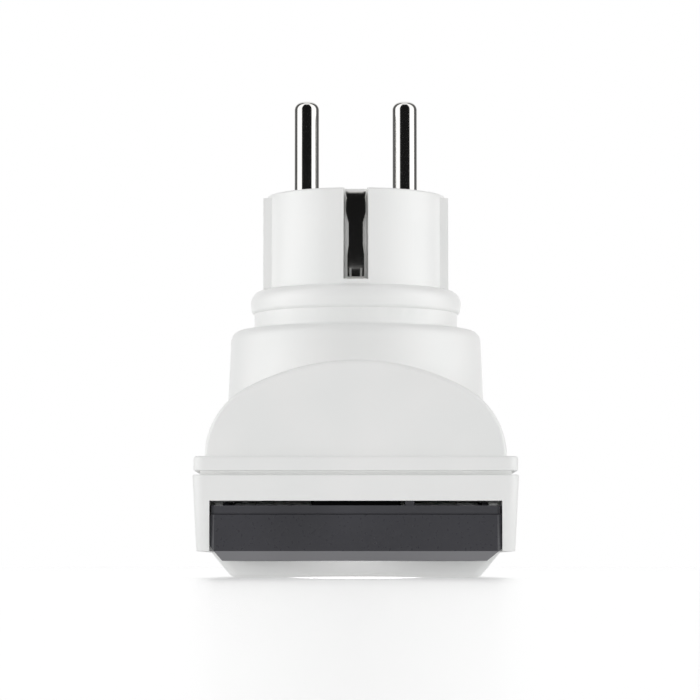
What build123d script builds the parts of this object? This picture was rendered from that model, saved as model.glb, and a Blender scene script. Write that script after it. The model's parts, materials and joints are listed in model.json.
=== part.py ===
from build123d import *
from math import atan2, cos, degrees, radians, sin
import os

# A plug-in power meter: a side-earthed mains plug on its back, a pass-through socket and a
# display panel on its front, and the metering electronics between them.
#
# Frame: +Z points the way the plug goes into the wall, and Z = 0 is the rim of the socket
# plinth, the face that the meter lies on when it is off the wall. X runs across the two pins.
# Y runs along the case, with the display end at -Y, and the origin is under the middle of it.
# All sizes are in millimetres.

# ---- Driving dimensions -------------------------------------------------------------------

# Case plan
case_length = 117.0
case_half_width = 27.3  # at the split line, where it is widest
case_draft = 0.65  # how far each side leans in from the split line to the front
corner_radius = 2.0
plug_y = 25.5  # the axis that the plug and the socket share

# Heights, from the socket plinth up to the plug
panel_front_z = 2.9
side_wall_end_z = 4.5
panel_top_z = 10.6
carrier_base_z = 10.7
carrier_top_z = 12.1
lintel_z = 12.9
rebate_z = 15.9
front_shell_top_z = 17.25
rear_shell_base_z = 17.9
rim_top_z = 20.35
collar_top_z = 47.3
lip_under_z = 50.5
flange_top_z = 55.0
plug_face_z = 73.35

# The barrel behind the display: an arch of two shoulder arcs and one crown arc
barrel_half_width = 25.3
barrel_height = 16.2
shoulder_radius = 13.1
crown_radius = (
    barrel_half_width**2 + barrel_height**2 - 2 * barrel_half_width * shoulder_radius
) / (2 * (barrel_height - shoulder_radius))

# Mains plug, to the usual round-pin standard
pin_radius = 2.4
pin_length = 18.6
pin_x = 9.5
boss_radius = 17.3
pin_tip_z = plug_face_z + pin_length
pin_shank_radius = 2.2  # where it is held in the boss

# Socket, the mate of the same plug
well_radius = 19.6
well_outer_radius = 21.0
well_depth = 17.5
well_top_z = 19.5
pin_hole_radius = 2.75

# General
wall = 2.2
touch = 0.03  # the play round a piece that is pushed or screwed in
key_play = 0.15  # the play round a key

# The inside of the case
inner_half_width = 24.3
inner_half_length = 56.0

# Where the two shells are screwed together, and where the power board is
screw_spots = [(x, y) for x in (-19.0, 19.0) for y in (-50.2, 50.2)]
board_spots = [(x, y) for x in (-20.6, 20.6) for y in (-43.0, -6.0)]
shell_joint_z = 21.0
screw_seat_z = 24.0
board_base_z = 17.0
board_top_z = 18.6


# ---- Helpers ------------------------------------------------------------------------------


def finish(piece, label):
    """Labels a finished piece and writes it as a file of its own."""
    piece.part.label = label
    export_step(piece.part, f"parts/{label}.step")


def edges_at(piece, z):
    """The edges of a piece that lie level at the height z."""
    return piece.edges().filter_by_position(Axis.Z, z - 0.01, z + 0.01)


def screw_part(head_radius, head_height, shank_radius, shank_length):
    """A cross-head screw, standing with the underside of its head at Z = 0."""
    recess_depth = head_height * 0.55
    with BuildPart() as screw:
        with Locations((0, 0, head_height / 2)):
            Cylinder(head_radius, head_height)
        fillet(edges_at(screw, head_height), radius=head_height * 0.3)
        with Locations((0, 0, head_height - recess_depth / 2)):
            Box(head_radius * 1.1, head_radius * 0.28, recess_depth, mode=Mode.SUBTRACT)
            Box(head_radius * 0.28, head_radius * 1.1, recess_depth, mode=Mode.SUBTRACT)
        with Locations((0, 0, -shank_length / 2)):
            Cylinder(shank_radius, shank_length)
        chamfer(edges_at(screw, -shank_length), length=shank_radius * 0.4)
    return screw.part


def strip_part(plane, points, bend_radius, thickness, width):
    """A bent metal strip: its centre line is drawn on a plane, and its width lies across it."""
    with BuildPart() as strip:
        with BuildSketch(plane):
            with BuildLine():
                path = FilletPolyline(*points, radius=bend_radius)
            trace(path, line_width=thickness)
        extrude(amount=width / 2, both=True)
    return strip.part


def wire_part(points, bend_radius, radius):
    """A round wire along a route of straight runs and bends."""
    start = Vector(points[0])
    with BuildPart() as wire:
        with BuildLine():
            FilletPolyline(*points, radius=bend_radius)
        with BuildSketch(Plane(origin=start, z_dir=Vector(points[1]) - start)):
            Circle(radius)
        sweep()
    return wire.part


def vault_outline(inset):
    """Draws the barrel's arched section, or the same arch moved in by an inset."""
    shoulder_x = barrel_half_width - shoulder_radius
    crown_drop = crown_radius - barrel_height
    turn = degrees(atan2(crown_drop, shoulder_x))
    with BuildLine() as outline:
        CenterArc((shoulder_x, rim_top_z), shoulder_radius - inset, 0, turn)
        CenterArc((0, rim_top_z - crown_drop), crown_radius - inset, turn, 180 - 2 * turn)
        CenterArc((-shoulder_x, rim_top_z), shoulder_radius - inset, 180 - turn, turn)
        Line(
            (-barrel_half_width + inset, rim_top_z),
            (barrel_half_width - inset, rim_top_z),
        )
    make_face(outline.edges())


os.makedirs("parts", exist_ok=True)

plug_axis = Axis((0, plug_y, 0), (0, 0, 1))
plug_section = Plane(origin=(0, plug_y, 0), x_dir=(1, 0, 0), z_dir=(0, -1, 0))
# Local x of this plane is the distance from the plug axis towards the display
near_section = Plane(origin=(0, plug_y, 0), x_dir=(0, -1, 0), z_dir=(-1, 0, 0))
across_plug = Plane(origin=(0, plug_y, 0), x_dir=(1, 0, 0), z_dir=(0, 1, 0))

# ---- Front shell --------------------------------------------------------------------------
# The drafted box that carries the display bay at -Y and the socket plinth at +Y.

lower_half_width = case_half_width - case_draft
lower_length = case_length - 2 * case_draft
bay_half_width = 24.4
bay_far_y = -1.5
plinth_bevel = 3.65  # on the sides and the far end
plinth_step_bevel = 2.0  # towards the display
plinth_foot_radius = 1.5
plinth_length = lower_length / 2 - bay_far_y
plinth_foot_length = plinth_length - plinth_bevel - plinth_step_bevel
rebate_half_width = 26.05
rebate_half_length = 57.25
shell_post_radius = 3.2
ear_radius = 24.2
ear_spots = [
    (ear_radius * cos(radians(a)), plug_y + ear_radius * sin(radians(a)))
    for a in (45, 135, 225, 315)
]
ear_base_z = 12.0
ear_top_z = 14.0
ledge_x = 23.0
ledge_top_z = 13.7
hook_spots = (-33.0, -16.0)

with BuildPart() as front_shell:
    # Side walls, from where the bevel starts up to the split line
    with BuildSketch(Plane.XY.offset(side_wall_end_z)):
        RectangleRounded(2 * lower_half_width, lower_length, corner_radius)
    with BuildSketch(Plane.XY.offset(front_shell_top_z)):
        RectangleRounded(2 * case_half_width, case_length, corner_radius)
    loft()
    fillet(edges_at(front_shell, front_shell_top_z), radius=0.3)
    # Bevelled plinth round the socket
    with BuildSketch(Plane.XY.offset(side_wall_end_z)):
        with Locations((0, bay_far_y + plinth_length / 2)):
            RectangleRounded(2 * lower_half_width, plinth_length, corner_radius)
    with BuildSketch(Plane.XY):
        with Locations((0, bay_far_y + plinth_step_bevel + plinth_foot_length / 2)):
            RectangleRounded(
                2 * (lower_half_width - plinth_bevel), plinth_foot_length, corner_radius
            )
    loft()
    fillet(edges_at(front_shell, 0), radius=plinth_foot_radius)
    # The display bay, open at the front and at the end
    with BuildSketch(Plane.XY.offset(-1)):
        with Locations((0, bay_far_y)):
            Rectangle(2 * bay_half_width, case_length, align=(Align.CENTER, Align.MAX))
    extrude(amount=lintel_z + 1, mode=Mode.SUBTRACT)
    # Board space behind the bay, and the hollow round the socket
    with BuildSketch(Plane.XY.offset(lintel_z)):
        Rectangle(2 * inner_half_width, 2 * inner_half_length)
    extrude(amount=10, mode=Mode.SUBTRACT)
    with BuildSketch(Plane.XY.offset(side_wall_end_z)):
        with Locations((0, inner_half_length)):
            Rectangle(
                2 * inner_half_width,
                inner_half_length - bay_far_y - wall,
                align=(Align.CENTER, Align.MAX),
            )
    extrude(amount=10, mode=Mode.SUBTRACT)
    # Rebate for the rear shell's tongue
    with BuildSketch(Plane.XY.offset(rebate_z)):
        Rectangle(2 * rebate_half_width, 2 * rebate_half_length)
    extrude(amount=5, mode=Mode.SUBTRACT)
    # Round hole for the socket well
    with Locations((0, plug_y, 0)):
        Cylinder(well_outer_radius + touch, 20, mode=Mode.SUBTRACT)
    # Posts for the case screws, each tied to the nearest side wall
    for x, y in screw_spots:
        post_base_z = lintel_z if y < 0 else side_wall_end_z - 0.5
        with BuildSketch(Plane.XY.offset(post_base_z)):
            with Locations((x, y)):
                Circle(shell_post_radius)
        extrude(amount=shell_joint_z - post_base_z)
        with BuildSketch(Plane.XY.offset(post_base_z)):
            with Locations(((x + (25.0 if x > 0 else -25.0)) / 2, y)):
                Rectangle(25.0 - abs(x), 2.0)
        extrude(amount=rebate_z - post_base_z)
    # Posts for the power board
    for x, y in board_spots:
        with BuildSketch(Plane.XY.offset(lintel_z)):
            with Locations((x, y)):
                Circle(2.4)
            with Locations(((x + (25.0 if x > 0 else -25.0)) / 2, y)):
                Rectangle(25.0 - abs(x), 2.4)
        extrude(amount=rebate_z - lintel_z)
        with Locations((x, y, (rebate_z + board_base_z) / 2)):
            Cylinder(2.4, board_base_z - rebate_z)
    # Posts for the ears of the socket well
    for x, y in ear_spots:
        with BuildSketch(Plane.XY.offset(side_wall_end_z - 0.5)):
            with Locations((x, y)):
                Circle(2.4)
        extrude(amount=ear_base_z - side_wall_end_z + 0.5)
    # Ledges that the display carrier hooks on to
    for side in (-1, 1):
        with BuildSketch(Plane.XY.offset(carrier_top_z + touch)):
            with Locations((side * (ledge_x + 25.0) / 2, sum(hook_spots) / 2)):
                Rectangle(25.0 - ledge_x, 26.0)
        extrude(amount=ledge_top_z - carrier_top_z - touch)
    # Screw holes
    for x, y in screw_spots:
        with BuildSketch(Plane.XY.offset(shell_joint_z)):
            with Locations((x, y)):
                Circle(1.45 + touch)
        extrude(amount=-7.5, mode=Mode.SUBTRACT)
    for x, y in board_spots:
        with BuildSketch(Plane.XY.offset(board_base_z)):
            with Locations((x, y)):
                Circle(0.95 + touch)
        extrude(amount=-3.6, mode=Mode.SUBTRACT)
    for x, y in ear_spots:
        with BuildSketch(Plane.XY.offset(ear_base_z)):
            with Locations((x, y)):
                Circle(1.0 + touch)
        extrude(amount=-5.0, mode=Mode.SUBTRACT)

finish(front_shell, "front_shell")

# ---- Rear shell ---------------------------------------------------------------------------
# The rim plate, the barrel vault and the round collar that carries the plug.

rim_half_width = 27.15
rim_half_length = 58.35
barrel_half_length = 56.6
collar_foot_radius = 25.2
collar_rim_radius = 24.1
collar_edge = 2.2
collar_inner_radius = 22.2
spigot_radius = 18.1
hollow_half_length = barrel_half_length - wall
tongue_base_z = 16.0

with BuildPart() as rear_hollow:
    with BuildSketch(Plane.XZ.offset(-hollow_half_length)):
        vault_outline(wall)
    extrude(amount=2 * hollow_half_length)
    with BuildSketch(Plane.XY.offset(rear_shell_base_z - 1)):
        Rectangle(2 * (barrel_half_width - wall), 2 * hollow_half_length)
    extrude(amount=rim_top_z - rear_shell_base_z + 1)
    with BuildSketch(Plane.XY.offset(rear_shell_base_z - 1)):
        with Locations((0, plug_y)):
            Circle(collar_inner_radius)
    extrude(amount=collar_top_z - 2.5 - rear_shell_base_z + 1)
    with BuildSketch(Plane.XY.offset(shell_joint_z + 0.1)):
        with Locations(*screw_spots):
            Circle(4.2)
    extrude(amount=30, mode=Mode.SUBTRACT)

with BuildPart() as rear_shell:
    with BuildSketch(Plane.XY.offset(rear_shell_base_z)):
        RectangleRounded(2 * rim_half_width, 2 * rim_half_length, corner_radius)
    extrude(amount=rim_top_z - rear_shell_base_z)
    fillet(edges_at(rear_shell, rim_top_z), radius=0.5)
    fillet(edges_at(rear_shell, rear_shell_base_z), radius=0.25)
    with BuildSketch(Plane.XZ.offset(-barrel_half_length)):
        vault_outline(0)
    extrude(amount=2 * barrel_half_length)
    for end_y in (-barrel_half_length, barrel_half_length):
        end_edges = rear_shell.edges().filter_by_position(Axis.Y, end_y - 0.01, end_y + 0.01)
        fillet(end_edges.filter_by(GeomType.CIRCLE), radius=0.7)
    # Round collar
    with BuildSketch(plug_section):
        with BuildLine():
            Line((0, rim_top_z - 1), (collar_foot_radius, rim_top_z - 1))
            Line((collar_foot_radius, rim_top_z - 1), (24.6, 34.0))
            Line((24.6, 34.0), (collar_rim_radius, collar_top_z - collar_edge))
            RadiusArc(
                (collar_rim_radius, collar_top_z - collar_edge),
                (collar_rim_radius - collar_edge, collar_top_z),
                -collar_edge,
            )
            Line((collar_rim_radius - collar_edge, collar_top_z), (0, collar_top_z))
            Line((0, collar_top_z), (0, rim_top_z - 1))
        make_face()
    revolve(axis=plug_axis)
    add(rear_hollow.part, mode=Mode.SUBTRACT)
    with BuildSketch(Plane.XY.offset(collar_top_z)):
        with Locations((0, plug_y)):
            Circle(spigot_radius + 0.1)
    extrude(amount=-10, mode=Mode.SUBTRACT)
    # Tongue that drops into the front shell's rebate
    with BuildSketch(Plane.XY.offset(tongue_base_z)):
        Rectangle(52.0, 114.4)
        Rectangle(49.2, 111.6, mode=Mode.SUBTRACT)
    extrude(amount=rear_shell_base_z - tongue_base_z)
    # Deep wells for the case screws
    for x, y in screw_spots:
        with BuildSketch(Plane.XY.offset(screw_seat_z)):
            with Locations((x, y)):
                Circle(3.1)
        extrude(amount=20, mode=Mode.SUBTRACT)
        with BuildSketch(Plane.XY.offset(screw_seat_z)):
            with Locations((x, y)):
                Circle(1.7)
        extrude(amount=-4, mode=Mode.SUBTRACT)

finish(rear_shell, "rear_shell")

with BuildPart() as case_screws:
    with Locations(*[(x, y, screw_seat_z) for x, y in screw_spots]):
        add(screw_part(2.7, 2.0, 1.45, 10.2))

finish(case_screws, "case_screws")

# ---- Plug ---------------------------------------------------------------------------------
# The boss, its flange and the spigot that drops into the collar are one moulding.

spigot_base_z = 44.85
slot_base_z = 56.0
slot_floor = 14.1
slot_mouth_half_width = 2.5
lug_reach = 17.74
lug_half_depth = 6.2
lug_top_z = plug_face_z - 0.85
groove_half_width = 2.9
groove_floor = 15.6
ring_inner_radius = 15.3
ring_screw_radius = 16.7
ring_base_z = 42.9

with BuildPart() as plug_insert:
    with BuildSketch(plug_section):
        with BuildLine():
            Line((0, spigot_base_z), (spigot_radius, spigot_base_z))
            Line((spigot_radius, spigot_base_z), (spigot_radius, collar_top_z))
            Line((spigot_radius, collar_top_z), (20.1, collar_top_z))
            ThreePointArc((20.1, collar_top_z), (19.7, 47.55), (19.6, 48.1))
            Line((19.6, 48.1), (19.6, lip_under_z))
            ThreePointArc((19.6, lip_under_z), (20.0, 50.75), (20.2, 51.3))
            Line((20.2, 51.3), (20.3, 52.3))
            ThreePointArc((20.3, 52.3), (19.75, 54.1), (18.3, flange_top_z))
            Line((18.3, flange_top_z), (boss_radius, flange_top_z))
            Line((boss_radius, flange_top_z), (boss_radius, plug_face_z - 0.5))
            RadiusArc(
                (boss_radius, plug_face_z - 0.5), (boss_radius - 0.5, plug_face_z), -0.5
            )
            Line((boss_radius - 0.5, plug_face_z), (0, plug_face_z))
            Line((0, plug_face_z), (0, spigot_base_z))
        make_face()
    revolve(axis=plug_axis)
    # Guide lugs at both sides, with their grooves
    with BuildSketch(Plane.XY.offset(flange_top_z - 0.5)):
        with Locations((0, plug_y)):
            Rectangle(2 * lug_reach, 2 * lug_half_depth)
    extrude(amount=lug_top_z - flange_top_z + 0.5)
    with BuildSketch(Plane.XY.offset(flange_top_z)):
        with Locations((groove_floor + 5, plug_y), (-groove_floor - 5, plug_y)):
            Rectangle(10, 2 * groove_half_width)
    extrude(amount=30, mode=Mode.SUBTRACT)
    # Flared slots for the earth contacts
    with BuildSketch(Plane.XY.offset(slot_base_z)):
        for side in (-1, 1):
            with BuildLine():
                Polyline(
                    (-2.0, plug_y + side * slot_floor),
                    (2.0, plug_y + side * slot_floor),
                    (slot_mouth_half_width, plug_y + side * (boss_radius + 1)),
                    (-slot_mouth_half_width, plug_y + side * (boss_radius + 1)),
                    close=True,
                )
            make_face()
    extrude(amount=30, mode=Mode.SUBTRACT)
    # Hollow inside, and slits for the earth contacts to pass the flange
    for radius, top_z in ((15.3, 54.0), (12.6, 66.5)):
        with BuildSketch(Plane.XY.offset(spigot_base_z)):
            with Locations((0, plug_y)):
                Circle(radius)
        extrude(amount=top_z - spigot_base_z, mode=Mode.SUBTRACT)
    with Locations((0, plug_y - 14.75, 55), (0, plug_y + 14.75, 55)):
        Box(3.5, 0.9, 4, mode=Mode.SUBTRACT)
    # Holes for the pins and for the clamp screws
    with BuildSketch(Plane.XY.offset(plug_face_z)):
        with Locations((-pin_x, plug_y), (pin_x, plug_y)):
            Circle(pin_shank_radius + touch)
    extrude(amount=-10, mode=Mode.SUBTRACT)
    with BuildSketch(Plane.XY.offset(spigot_base_z)):
        with Locations((0, plug_y)):
            with PolarLocations(ring_screw_radius, 4, start_angle=45):
                Circle(0.7 + touch)
    extrude(amount=6, mode=Mode.SUBTRACT)

finish(plug_insert, "plug_insert")

with BuildPart() as plug_clamp_ring:
    with BuildSketch(Plane.XY.offset(ring_base_z)):
        with Locations((0, plug_y)):
            Circle(20.8)
            Circle(ring_inner_radius, mode=Mode.SUBTRACT)
            with PolarLocations(ring_screw_radius, 4, start_angle=45):
                Circle(0.9, mode=Mode.SUBTRACT)
    extrude(amount=collar_top_z - 2.5 - ring_base_z)

finish(plug_clamp_ring, "plug_clamp_ring")

clamp_screw = screw_part(1.35, 0.9, 0.7, 5.5).rotate(Axis.X, 180)
with BuildPart() as plug_insert_screws:
    with Locations((0, plug_y, ring_base_z)):
        with PolarLocations(ring_screw_radius, 4, start_angle=45):
            add(clamp_screw)

finish(plug_insert_screws, "plug_insert_screws")

pin_tail_z = 44.4
for label, x in (("line_pin", pin_x), ("neutral_pin", -pin_x)):
    with BuildPart() as pin:
        with BuildSketch(Plane(origin=(x, plug_y, 0), x_dir=(1, 0, 0), z_dir=(0, -1, 0))):
            with BuildLine():
                Line((0, pin_tail_z), (1.7, pin_tail_z))
                Line((1.7, pin_tail_z), (1.7, 64.5))
                Line((1.7, 64.5), (3.1, 64.5))
                Line((3.1, 64.5), (3.1, 66.47))
                Line((3.1, 66.47), (pin_shank_radius, 66.47))
                Line((pin_shank_radius, 66.47), (pin_shank_radius, plug_face_z))
                Line((pin_shank_radius, plug_face_z), (pin_radius, plug_face_z))
                Line((pin_radius, plug_face_z), (pin_radius, pin_tip_z - 1.7))
                ThreePointArc(
                    (pin_radius, pin_tip_z - 1.7), (1.75, pin_tip_z - 0.5), (0.5, pin_tip_z)
                )
                Line((0.5, pin_tip_z), (0, pin_tip_z))
                Line((0, pin_tip_z), (0, pin_tail_z))
            make_face()
        revolve(axis=Axis((x, plug_y, 0), (0, 0, 1)))
    finish(pin, label)

# ---- Earth path ---------------------------------------------------------------------------
# A sprung strip in each side slot of the plug, a bridge under them, and the two contacts
# that stand in the socket well. Distances in these sections are from the plug axis.

spring_route = [
    (9.6, 43.35),
    (14.75, 43.35),
    (14.75, 56.6),
    (16.4, 58.4),
    (16.2, 66.5),
    (15.6, 70.4),
    (14.5, 72.5),
]
clip_route = [
    (9.6, 41.95),
    (21.55, 41.95),
    (21.55, 16.4),
    (16.9, 12.0),
    (16.9, 9.0),
    (20.2, 3.4),
]
rivet_radius = 0.9
rivet_at = 11.6

with BuildPart() as earth_spring_near:
    add(strip_part(near_section, spring_route, 0.8, 0.6, 3.9))
    # Waisted outline, seen from the display end
    with BuildSketch(Plane.XZ):
        with BuildLine():
            Polyline(
                (1.6, 40),
                (1.6, 60.5),
                (1.3, 62.5),
                (1.3, 66.5),
                (1.95, 69.0),
                (1.95, 80),
                (-1.95, 80),
                (-1.95, 69.0),
                (-1.3, 66.5),
                (-1.3, 62.5),
                (-1.6, 60.5),
                (-1.6, 40),
                close=True,
            )
        make_face()
        with Locations((-0.98, 57.6), (0.98, 57.6)):
            Rectangle(0.3, 1.3, mode=Mode.SUBTRACT)
    extrude(amount=60, both=True, mode=Mode.INTERSECT)
    with Locations((0, plug_y - rivet_at, 43.35)):
        Cylinder(rivet_radius + touch, 2, mode=Mode.SUBTRACT)

finish(earth_spring_near, "earth_spring_near")

with BuildPart() as earth_spring_far:
    add(mirror(earth_spring_near.part, about=across_plug, mode=Mode.PRIVATE))

finish(earth_spring_far, "earth_spring_far")

with BuildPart() as earth_bridge:
    with BuildSketch(Plane.XY.offset(42.25)):
        with Locations((0, plug_y)):
            RectangleRounded(6.8, 28.4, 1.2)
        with Locations((0, plug_y - rivet_at), (0, plug_y + rivet_at)):
            Circle(rivet_radius + touch, mode=Mode.SUBTRACT)
    extrude(amount=0.8)

finish(earth_bridge, "earth_bridge")

with BuildPart() as earth_rivets:
    for side in (-1, 1):
        with Locations((0, plug_y + side * rivet_at, 42.65)):
            Cylinder(rivet_radius, 2.0)
        with Locations((0, plug_y + side * rivet_at, 43.9)):
            Cylinder(1.5, 0.5)
        with Locations((0, plug_y + side * rivet_at, 41.4)):
            Cylinder(1.5, 0.5)

finish(earth_rivets, "earth_rivets")

with BuildPart() as earth_clip_near:
    add(strip_part(near_section, clip_route, 1.2, 0.6, 4.0))
    with Locations((0, plug_y - rivet_at, 41.95)):
        Cylinder(rivet_radius + touch, 2, mode=Mode.SUBTRACT)

finish(earth_clip_near, "earth_clip_near")

with BuildPart() as earth_clip_far:
    add(mirror(earth_clip_near.part, about=across_plug, mode=Mode.PRIVATE))

finish(earth_clip_far, "earth_clip_far")

# ---- Socket -------------------------------------------------------------------------------
# The well, the child-safety shutter behind its floor, and the contact carrier above that.

carrier_post_spots = [(x, plug_y + y) for x in (-14.5, 14.5) for y in (-8.2, 8.2)]
contact_base_z = 23.2
contact_top_z = 39.0
shutter_base_z = 19.8
shutter_top_z = 21.2
pivot_radius = 2.0

with BuildPart() as socket_well:
    with BuildSketch(Plane.XY):
        with Locations((0, plug_y)):
            Circle(well_outer_radius)
    extrude(amount=well_depth)
    for x, y in ear_spots:
        with BuildSketch(Plane.XY.offset(ear_base_z)):
            with Locations((x, y)):
                Circle(2.6)
            with Locations((x * 0.93, plug_y + (y - plug_y) * 0.93)):
                Circle(2.6)
        extrude(amount=ear_top_z - ear_base_z)
    with BuildSketch(Plane.XY):
        with Locations((0, plug_y)):
            Circle(well_radius)
    extrude(amount=well_depth, mode=Mode.SUBTRACT)
    chamfer(edges_at(socket_well, 0).sort_by(SortBy.LENGTH)[0], length=0.5)
    # Guide ribs at both sides
    with BuildSketch(Plane.XY.offset(1.5)):
        with Locations((-17.9, plug_y), (17.9, plug_y)):
            Rectangle(4.2, 5.2)
    extrude(amount=well_depth - 1.5)
    # Slots for the earth contacts
    with Locations((0, plug_y, 9.5)):
        Box(6.4, 2 * well_outer_radius + 2, 15.0, mode=Mode.SUBTRACT)
    with BuildSketch(Plane.XY.offset(ear_base_z)):
        with Locations(*ear_spots):
            Circle(1.15)
    extrude(amount=3, mode=Mode.SUBTRACT)

finish(socket_well, "socket_well")

# The floor carries the shutter and the contacts, and closes the well at the back
with BuildPart() as socket_floor:
    with BuildSketch(Plane.XY.offset(well_depth)):
        with Locations((0, plug_y)):
            Circle(well_outer_radius)
    extrude(amount=well_top_z - well_depth)
    with BuildSketch(Plane.XY.offset(well_depth)):
        with Locations((-pin_x, plug_y), (pin_x, plug_y)):
            Circle(pin_hole_radius)
    extrude(amount=well_top_z - well_depth, mode=Mode.SUBTRACT)
    # Shutter pivot, shutter stops and posts for the contact carrier
    with BuildSketch(Plane.XY.offset(well_top_z)):
        with Locations((0, plug_y)):
            Circle(pivot_radius)
    extrude(amount=3.3)
    with BuildSketch(Plane.XY.offset(well_top_z)):
        with Locations((0, plug_y)):
            with PolarLocations(11.3, 2, start_angle=-24):
                Circle(1.0)
            with PolarLocations(11.3, 2, start_angle=69):
                Circle(1.0)
    extrude(amount=2.0)
    with BuildSketch(Plane.XY.offset(well_top_z)):
        with Locations(*carrier_post_spots):
            Circle(2.0)
    extrude(amount=contact_base_z - well_top_z)
    with BuildSketch(Plane.XY.offset(contact_base_z)):
        with Locations(*carrier_post_spots):
            Circle(0.95 + touch)
    extrude(amount=-4.6, mode=Mode.SUBTRACT)

finish(socket_floor, "socket_floor")

with BuildPart() as well_screws:
    with Locations(*[(x, y, ear_top_z) for x, y in ear_spots]):
        add(screw_part(1.9, 1.3, 1.0, 6.4))

finish(well_screws, "well_screws")

shutter_reach = 12.6
with BuildPart() as shutter_plate:
    with BuildSketch(Plane.XY.offset(shutter_base_z)):
        with Locations((0, plug_y)):
            Rectangle(2 * shutter_reach, 6.4)
            Circle(4.2)
    extrude(amount=shutter_top_z - shutter_base_z)
    # The ends follow the swing, and the leading edges are ramped for the pins
    with BuildSketch(Plane.XY.offset(shutter_base_z)):
        with Locations((0, plug_y)):
            Circle(shutter_reach)
    extrude(amount=2, mode=Mode.INTERSECT)
    ramp_edges = edges_at(shutter_plate, shutter_base_z).filter_by(Axis.X)
    chamfer(ramp_edges, length=0.9)
    with Locations((0, plug_y, shutter_base_z)):
        Cylinder(pivot_radius + 0.06, 6, mode=Mode.SUBTRACT)

finish(shutter_plate, "shutter_plate")

with BuildPart() as shutter_spring:
    with BuildLine(Plane.XY.offset(21.55)):
        Helix(pitch=0.62, height=0.93, radius=2.75, center=(0, plug_y, 0))
    with BuildSketch(Plane(origin=(2.75, plug_y, 21.55), z_dir=(0, 1, 0))):
        Circle(0.22)
    sweep(is_frenet=True)

finish(shutter_spring, "shutter_spring")

with BuildPart() as contact_carrier:
    with BuildSketch(Plane.XY.offset(contact_base_z)):
        with Locations((0, plug_y)):
            RectangleRounded(34.0, 21.0, 2.4)
    extrude(amount=2.8)
    with BuildSketch(Plane.XY.offset(contact_base_z + 2.8)):
        with Locations((0, plug_y)):
            RectangleRounded(28.8, 12.0, 1.2)
    extrude(amount=contact_top_z - contact_base_z - 2.8)
    # A pocket for each receptacle, and a hole under it for the pin
    with BuildSketch(Plane.XY.offset(24.6)):
        with Locations((-pin_x, plug_y), (pin_x, plug_y)):
            Rectangle(7.8, 8.6)
    extrude(amount=20, mode=Mode.SUBTRACT)
    with BuildSketch(Plane.XY.offset(contact_base_z)):
        with Locations((-pin_x, plug_y), (pin_x, plug_y)):
            Circle(2.9)
        with Locations(*carrier_post_spots):
            Circle(1.15)
    extrude(amount=4, mode=Mode.SUBTRACT)

finish(contact_carrier, "contact_carrier")

with BuildPart() as carrier_screws:
    with Locations(*[(x, y, contact_base_z + 2.8) for x, y in carrier_post_spots]):
        add(screw_part(1.8, 1.3, 0.95, 7.0))

finish(carrier_screws, "carrier_screws")

receptacle_base_z = 24.8
receptacle_top_z = 39.2
for label, x in (("line_receptacle", pin_x), ("neutral_receptacle", -pin_x)):
    with BuildPart() as receptacle:
        with BuildSketch(Plane.XY.offset(receptacle_base_z)):
            with Locations((x, plug_y)):
                Circle(3.1)
        extrude(amount=receptacle_top_z - receptacle_base_z)
        with BuildSketch(Plane.XY.offset(receptacle_base_z)):
            with Locations((x, plug_y)):
                Circle(2.48)
        extrude(amount=receptacle_top_z - receptacle_base_z - 0.8, mode=Mode.SUBTRACT)
        with Locations((x, plug_y, receptacle_base_z + 5)):
            Box(0.8, 8, 10, mode=Mode.SUBTRACT)
            Box(8, 0.8, 10, mode=Mode.SUBTRACT)
    finish(receptacle, label)

with BuildPart() as receptacle_springs:
    for x in (-pin_x, pin_x):
        for z in (28.0, 32.0):
            with BuildSketch(Plane.XY.offset(z)):
                with Locations((x, plug_y)):
                    Circle(3.7)
                    Circle(3.1 + touch, mode=Mode.SUBTRACT)
                    with Locations((0, 3.5)):
                        Rectangle(1.2, 1.6, mode=Mode.SUBTRACT)
            extrude(amount=1.4)

finish(receptacle_springs, "receptacle_springs")

# ---- Current path between plug and socket -------------------------------------------------

link_route = [(7.2, 44.0), (13.2, 44.0), (13.2, 39.6), (7.2, 39.6)]
with BuildPart() as shunt_resistor:
    add(strip_part(plug_section, link_route, 1.2, 0.8, 5.0))
    # Trimming notch in the bend
    with Locations((13.2, plug_y, 41.8)):
        Box(2.0, 1.2, 2.2, mode=Mode.SUBTRACT)

finish(shunt_resistor, "shunt_resistor")

with BuildPart() as neutral_link:
    mirrored_route = [(-x, z) for x, z in link_route]
    add(strip_part(plug_section, mirrored_route, 1.2, 0.8, 5.0))

finish(neutral_link, "neutral_link")

# Sense wires run from the links, over the contact carrier and down to the power board
sense_wires = {
    "line_sense_wire": [
        (14.35, 27.0, 41.7),
        (14.35, 16.0, 40.6),
        (13.0, 7.0, 27.5),
        (13.0, -1.5, 25.5),
        (13.0, -1.5, board_top_z),
    ],
    "load_sense_wire": [
        (10.2, 27.0, 40.75),
        (10.2, 16.5, 40.7),
        (8.6, 6.5, 28.5),
        (8.6, -3.5, 25.0),
        (8.6, -3.5, board_top_z),
    ],
    "neutral_sense_wire": [
        (-10.2, 27.0, 40.75),
        (-10.2, 16.5, 40.7),
        (-9.2, 6.5, 28.5),
        (-9.2, -3.5, 25.0),
        (-9.2, -3.5, board_top_z),
    ],
}
for label, route in sense_wires.items():
    with BuildPart() as sense_wire:
        add(wire_part(route, 3.0, 0.65))
    finish(sense_wire, label)

# ---- Power board --------------------------------------------------------------------------

with BuildPart() as power_board:
    with BuildSketch(Plane.XY.offset(board_base_z)):
        with Locations((0, -21.9)):
            RectangleRounded(45.6, 48.6, 1.0)
        with Locations(*board_spots):
            Circle(1.1, mode=Mode.SUBTRACT)
    extrude(amount=board_top_z - board_base_z)

finish(power_board, "power_board")

with BuildPart() as board_screws:
    with Locations(*[(x, y, board_top_z) for x, y in board_spots]):
        add(screw_part(1.8, 1.2, 0.95, 4.6))

finish(board_screws, "board_screws")

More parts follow.
